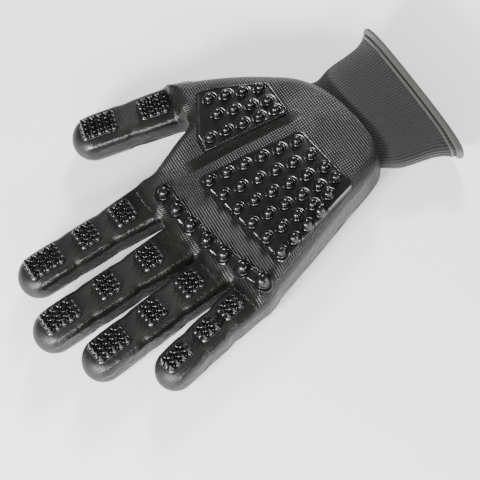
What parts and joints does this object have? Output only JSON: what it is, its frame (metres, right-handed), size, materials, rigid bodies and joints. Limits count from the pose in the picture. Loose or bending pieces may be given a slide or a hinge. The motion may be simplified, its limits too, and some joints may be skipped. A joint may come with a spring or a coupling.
{
  "type": "grooming glove",
  "caption": "Right-hand knit glove with a dipped rubber palm, spiked pads on every finger, round nubs on the palm and a rib cuff.",
  "frame": {"origin": "centre of the bounding box at the surface the glove lies on, back of the hand down", "axes": "+Y towards the fingertips, +X towards the thumb, +Z out of the palm side"},
  "size_m": [0.1654, 0.2334, 0.0306],
  "materials": {
    "liner_knit": "fine nylon knit, matte",
    "dipped_coat": "dipped, semi-gloss, knit showing through",
    "pad_rubber": "moulded, gloss",
    "cuff_knit": "rib knit, matte",
    "elastic": "covered elastic thread, matte",
    "hem_yarn": "overlock yarn, matte"
  },
  "bodies": {
    "palm": {"palm_liner": "liner_knit", "palm_coat": "dipped_coat", "palm_pad": "pad_rubber", "thumb_heel_pad": "pad_rubber", "knuckle_strip": "pad_rubber"},
    "cuff": {"cuff_rib": "cuff_knit", "cuff_elastic": "elastic", "cuff_hem": "hem_yarn"},
    "index_base": {"index_base_liner": "liner_knit", "index_base_coat": "dipped_coat", "index_base_pad": "pad_rubber"},
    "index_middle": {"index_middle_liner": "liner_knit", "index_middle_coat": "dipped_coat", "index_middle_pad": "pad_rubber"},
    "index_tip": {"index_tip_liner": "liner_knit", "index_tip_coat": "dipped_coat", "index_tip_pad": "pad_rubber"},
    "middle_base": {"middle_base_liner": "liner_knit", "middle_base_coat": "dipped_coat", "middle_base_pad": "pad_rubber"},
    "middle_middle": {"middle_middle_liner": "liner_knit", "middle_middle_coat": "dipped_coat", "middle_middle_pad": "pad_rubber"},
    "middle_tip": {"middle_tip_liner": "liner_knit", "middle_tip_coat": "dipped_coat", "middle_tip_pad": "pad_rubber"},
    "ring_base": {"ring_base_liner": "liner_knit", "ring_base_coat": "dipped_coat", "ring_base_pad": "pad_rubber"},
    "ring_middle": {"ring_middle_liner": "liner_knit", "ring_middle_coat": "dipped_coat", "ring_middle_pad": "pad_rubber"},
    "ring_tip": {"ring_tip_liner": "liner_knit", "ring_tip_coat": "dipped_coat", "ring_tip_pad": "pad_rubber"},
    "little_base": {"little_base_liner": "liner_knit", "little_base_coat": "dipped_coat", "little_base_pad": "pad_rubber"},
    "little_middle": {"little_middle_liner": "liner_knit", "little_middle_coat": "dipped_coat", "little_middle_pad": "pad_rubber"},
    "little_tip": {"little_tip_liner": "liner_knit", "little_tip_coat": "dipped_coat", "little_tip_pad": "pad_rubber"},
    "thumb_base": {"thumb_base_liner": "liner_knit", "thumb_base_coat": "dipped_coat", "thumb_base_pad": "pad_rubber"},
    "thumb_tip": {"thumb_tip_liner": "liner_knit", "thumb_tip_coat": "dipped_coat", "thumb_tip_pad": "pad_rubber"}
  },
  "joints": [
    {"name": "wrist_bend", "type": "hinge", "parent": "palm", "child": "cuff", "pos_m": [-0.00086, -0.07676, 0.01115], "axis": [1, 0, 0], "range_deg": [-25, 25], "stiffness_Nm_per_rad": 0.02},
    {"name": "index_base_fold", "type": "hinge", "parent": "palm", "child": "index_base", "pos_m": [0.01534, 0.03424, 0.0192], "axis": [0.9991, 0.0419, 0], "range_deg": [0, 70], "stiffness_Nm_per_rad": 0.01},
    {"name": "index_middle_fold", "type": "hinge", "parent": "index_base", "child": "index_middle", "pos_m": [0.01438, 0.05722, 0.0192], "axis": [0.9991, 0.0419, 0], "range_deg": [0, 75], "stiffness_Nm_per_rad": 0.01},
    {"name": "index_tip_fold", "type": "hinge", "parent": "index_middle", "child": "index_tip", "pos_m": [0.01341, 0.0802, 0.0192], "axis": [0.9991, 0.0419, 0], "range_deg": [0, 50], "stiffness_Nm_per_rad": 0.01},
    {"name": "middle_base_fold", "type": "hinge", "parent": "palm", "child": "middle_base", "pos_m": [-0.01466, 0.03224, 0.0192], "axis": [0.9974, 0.0715, 0], "range_deg": [0, 70], "stiffness_Nm_per_rad": 0.01},
    {"name": "middle_middle_fold", "type": "hinge", "parent": "middle_base", "child": "middle_middle", "pos_m": [-0.01659, 0.05917, 0.0192], "axis": [0.9974, 0.0715, 0], "range_deg": [0, 75], "stiffness_Nm_per_rad": 0.01},
    {"name": "middle_tip_fold", "type": "hinge", "parent": "middle_middle", "child": "middle_tip", "pos_m": [-0.01852, 0.08611, 0.0192], "axis": [0.9974, 0.0715, 0], "range_deg": [0, 50], "stiffness_Nm_per_rad": 0.01},
    {"name": "ring_base_fold", "type": "hinge", "parent": "palm", "child": "ring_base", "pos_m": [-0.03866, 0.02574, 0.0192], "axis": [0.9903, 0.1392, 0], "range_deg": [0, 70], "stiffness_Nm_per_rad": 0.01},
    {"name": "ring_middle_fold", "type": "hinge", "parent": "ring_base", "child": "ring_middle", "pos_m": [-0.04172, 0.04753, 0.0192], "axis": [0.9903, 0.1392, 0], "range_deg": [0, 75], "stiffness_Nm_per_rad": 0.01},
    {"name": "ring_tip_fold", "type": "hinge", "parent": "ring_middle", "child": "ring_tip", "pos_m": [-0.04506, 0.0713, 0.0192], "axis": [0.9903, 0.1392, 0], "range_deg": [0, 50], "stiffness_Nm_per_rad": 0.01},
    {"name": "little_base_fold", "type": "hinge", "parent": "palm", "child": "little_base", "pos_m": [-0.06126, 0.01774, 0.0192], "axis": [0.9703, 0.2419, 0], "range_deg": [0, 70], "stiffness_Nm_per_rad": 0.01},
    {"name": "little_middle_fold", "type": "hinge", "parent": "little_base", "child": "little_middle", "pos_m": [-0.06525, 0.03375, 0.0192], "axis": [0.9703, 0.2419, 0], "range_deg": [0, 75], "stiffness_Nm_per_rad": 0.01},
    {"name": "little_tip_fold", "type": "hinge", "parent": "little_middle", "child": "little_tip", "pos_m": [-0.06924, 0.04976, 0.0192], "axis": [0.9703, 0.2419, 0], "range_deg": [0, 50], "stiffness_Nm_per_rad": 0.01},
    {"name": "thumb_base_fold", "type": "hinge", "parent": "palm", "child": "thumb_base", "pos_m": [0.06124, -0.00776, 0.0192], "axis": [0.977, -0.213, 0], "range_deg": [0, 50], "stiffness_Nm_per_rad": 0.01},
    {"name": "thumb_tip_fold", "type": "hinge", "parent": "thumb_base", "child": "thumb_tip", "pos_m": [0.06667, 0.01716, 0.0192], "axis": [0.977, -0.213, 0], "range_deg": [0, 70], "stiffness_Nm_per_rad": 0.01}
  ]
}
